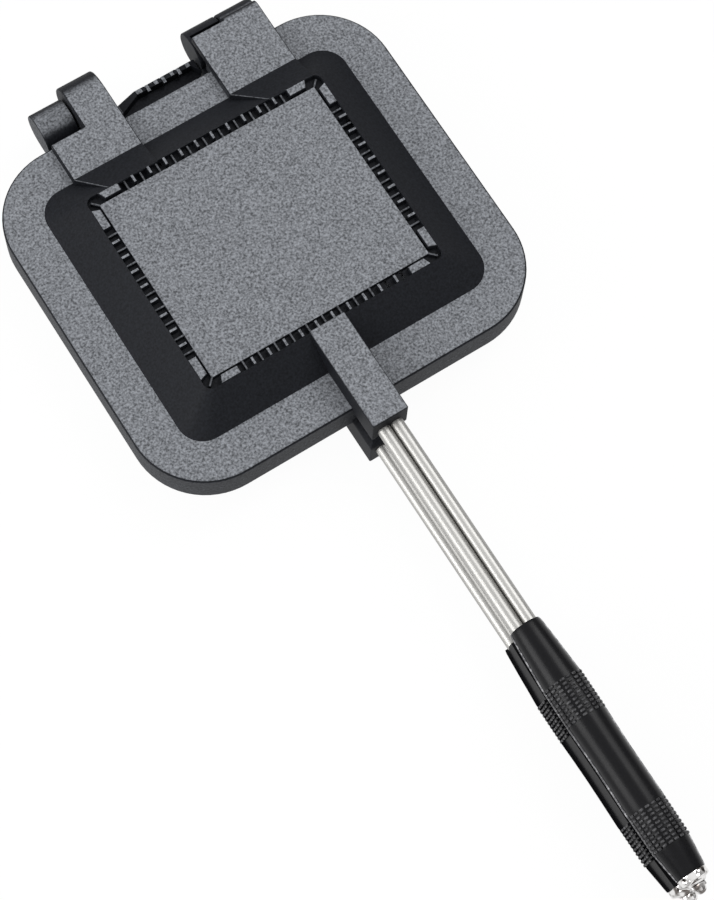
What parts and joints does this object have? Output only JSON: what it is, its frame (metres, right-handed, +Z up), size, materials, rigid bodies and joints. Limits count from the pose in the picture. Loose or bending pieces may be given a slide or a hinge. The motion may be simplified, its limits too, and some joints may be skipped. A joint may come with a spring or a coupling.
{
  "type": "pie iron",
  "caption": "Double-sided pan for pressed toasted sandwiches: two sloped cast shells hinged at the back, each with a twin-rod handle and a moulded grip.",
  "frame": {"origin": "on the surface that the closed pan lies on, under the middle of its whole length and width", "axes": "+X along the hinge, +Y from the handles towards the hinge, +Z up"},
  "size_m": [0.15, 0.3498, 0.0347],
  "materials": {
    "casting": "dark non-stick coating",
    "steel": "polished",
    "grip": "satin",
    "chrome": "polished"
  },
  "bodies": {
    "lower_half": {"lower_plate": "casting", "hinge_pin_left": "steel", "hinge_pin_right": "steel", "lower_rod_left": "steel", "lower_rod_right": "steel", "lower_grip": "grip", "lower_tie_stud": "steel", "lower_end_cap": "chrome", "lower_cap_nut": "chrome"},
    "upper_half": {"upper_plate": "casting", "upper_rod_left": "steel", "upper_rod_right": "steel", "upper_grip": "grip", "upper_tie_stud": "steel", "upper_end_cap": "chrome", "upper_cap_nut": "chrome"}
  },
  "joints": [
    {"name": "lid_hinge", "type": "hinge", "parent": "lower_half", "child": "upper_half", "pos_m": [0, 0.1638, 0.01735], "axis": [-1, 0, 0], "range_deg": [0, 180]}
  ]
}
